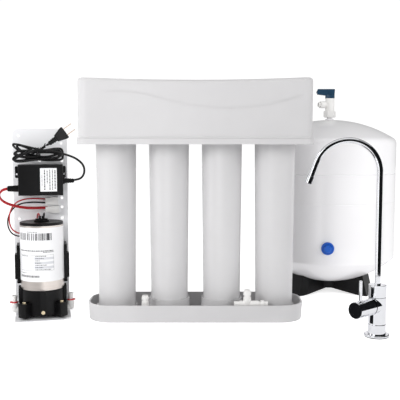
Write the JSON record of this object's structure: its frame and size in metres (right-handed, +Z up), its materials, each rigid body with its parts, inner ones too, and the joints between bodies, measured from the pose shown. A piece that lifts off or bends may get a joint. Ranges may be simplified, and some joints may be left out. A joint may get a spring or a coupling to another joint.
{
  "type": "under-sink reverse osmosis drinking water kit",
  "caption": "Under-sink water purifier kit: filter unit with twist-off canisters in a tray, pressure tank on a stand, gooseneck faucet and booster pump station.",
  "frame": {"origin": "centre of the filter unit's tray on the floor", "axes": "+X to the right along the tray, +Y to the wall behind the kit, +Z up"},
  "size_m": [0.7902, 0.5528, 0.4375],
  "materials": {
    "abs_white": "moulded ABS, soft sheen",
    "canister_white": "moulded polypropylene, satin",
    "fitting_white": "moulded acetal",
    "head_plastic": "moulded polypropylene",
    "bracket_paint": "powder coat",
    "tube_white": "extruded polyethylene",
    "seal_rubber": "moulded nitrile",
    "felt_white": "spun polypropylene",
    "carbon_block": "pressed carbon",
    "tank_paint": "gloss white epoxy",
    "stand_black": "moulded ABS",
    "brass": "turned",
    "cap_blue": "moulded",
    "lever_navy": "moulded",
    "faucet_chrome": "polished plate",
    "panel_paint": "white powder coat",
    "can_steel": "brushed",
    "black_plastic": "moulded, fine grain",
    "clip_red": "moulded",
    "core_iron": "laminated and wound",
    "cord_black": "soft vinyl",
    "lead_red": "soft vinyl",
    "blade_metal": "nickel plate"
  },
  "bodies": {
    "root": {"base_tray": "abs_white", "tray_fittings": "fitting_white"},
    "rack": {"head_bracket": "bracket_paint", "push_fittings": "fitting_white", "auto_shutoff_valve": "fitting_white", "stage_tubes": "tube_white", "head_seals": "seal_rubber", "filter_head_1": "head_plastic", "filter_head_2": "head_plastic", "filter_head_3": "head_plastic", "filter_head_4": "head_plastic"},
    "cover": {"head_cover": "abs_white"},
    "canister_one": {"canister_1": "canister_white", "sediment_core": "felt_white"},
    "canister_two": {"canister_2": "canister_white", "carbon_core": "carbon_block"},
    "canister_three": {"canister_3": "canister_white", "membrane_element": "felt_white"},
    "canister_four": {"canister_4": "canister_white", "post_carbon_core": "carbon_block"},
    "tank": {"tank_shell_upper": "tank_paint", "tank_shell_lower": "tank_paint", "tank_diaphragm": "seal_rubber", "tank_stand": "stand_black", "air_valve": "brass", "valve_body": "fitting_white", "valve_port_nut": "fitting_white"},
    "air_cap": {"air_valve_cap": "cap_blue"},
    "valve_key": {"valve_ball": "fitting_white", "valve_lever": "lever_navy"},
    "faucet": {"faucet_flange": "faucet_chrome", "faucet_seals": "seal_rubber", "faucet_body": "faucet_chrome", "faucet_cartridge": "brass"},
    "spout": {"spout_tube": "faucet_chrome", "aerator": "faucet_chrome"},
    "handle": {"handle_cap": "faucet_chrome", "lever_pin": "faucet_chrome"},
    "booster": {"mounting_panel": "panel_paint", "motor_can": "can_steel", "motor_end_cap": "black_plastic", "pump_head": "black_plastic", "pump_diaphragm": "seal_rubber", "motor_saddle": "black_plastic", "port_elbows": "fitting_white", "elbow_clips": "clip_red", "brass_screws": "brass", "transformer_case": "black_plastic", "transformer_core": "core_iron", "strain_reliefs": "black_plastic", "connectors": "fitting_white", "lead_red": "lead_red", "lead_black": "cord_black", "supply_lead": "lead_red", "mains_cord": "cord_black", "cord_hank": "cord_black", "cord_tie": "black_plastic", "plug_body": "cord_black", "plug_blades": "blade_metal"},
    "armature": {"rotor": "core_iron"}
  },
  "joints": [
    {"name": "rack_lift", "type": "slide", "parent": "root", "child": "rack", "axis": [0, 0, 1], "range_m": [0, 0.06]},
    {"name": "cover_lift", "type": "slide", "parent": "rack", "child": "cover", "axis": [0, 0, 1], "range_m": [0, 0.13]},
    {"name": "canister_one_twist", "type": "hinge", "parent": "rack", "child": "canister_one", "pos_m": [-0.14625, 0, 0.2], "axis": [0, 0, 1], "range_deg": [0, 90]},
    {"name": "canister_two_twist", "type": "hinge", "parent": "rack", "child": "canister_two", "pos_m": [-0.04875, 0, 0.2], "axis": [0, 0, 1], "range_deg": [0, 90]},
    {"name": "canister_three_twist", "type": "hinge", "parent": "rack", "child": "canister_three", "pos_m": [0.04875, 0, 0.2], "axis": [0, 0, 1], "range_deg": [0, 90]},
    {"name": "canister_four_twist", "type": "hinge", "parent": "rack", "child": "canister_four", "pos_m": [0.14625, 0, 0.2], "axis": [0, 0, 1], "range_deg": [0, 90]},
    {"name": "tank_lift", "type": "slide", "parent": "root", "child": "tank", "axis": [0, 0, 1], "range_m": [0, 0.08]},
    {"name": "air_cap_turn", "type": "hinge", "parent": "tank", "child": "air_cap", "pos_m": [0.2623, 0.08368, 0.113], "axis": [-0.184, -0.9829, 0], "range_deg": [0, 360]},
    {"name": "tank_valve_turn", "type": "hinge", "parent": "tank", "child": "valve_key", "pos_m": [0.288, 0.221, 0.404], "axis": [0, 0, 1], "range_deg": [0, 90]},
    {"name": "faucet_lift", "type": "slide", "parent": "root", "child": "faucet", "axis": [0, 0, 1], "range_m": [0, 0.06]},
    {"name": "spout_swivel", "type": "hinge", "parent": "faucet", "child": "spout", "pos_m": [0.3035, -0.142, 0.08], "axis": [0, 0, 1], "continuous": true},
    {"name": "handle_turn", "type": "hinge", "parent": "faucet", "child": "handle", "pos_m": [0.3035, -0.142, 0.053], "axis": [-0.7513, -0.66, 0], "range_deg": [0, 90]},
    {"name": "booster_lift", "type": "slide", "parent": "root", "child": "booster", "axis": [0, 0, 1], "range_m": [0, 0.025]},
    {"name": "armature_spin", "type": "hinge", "parent": "booster", "child": "armature", "pos_m": [-0.286, 0, 0.1], "axis": [0, 0, 1], "continuous": true}
  ]
}
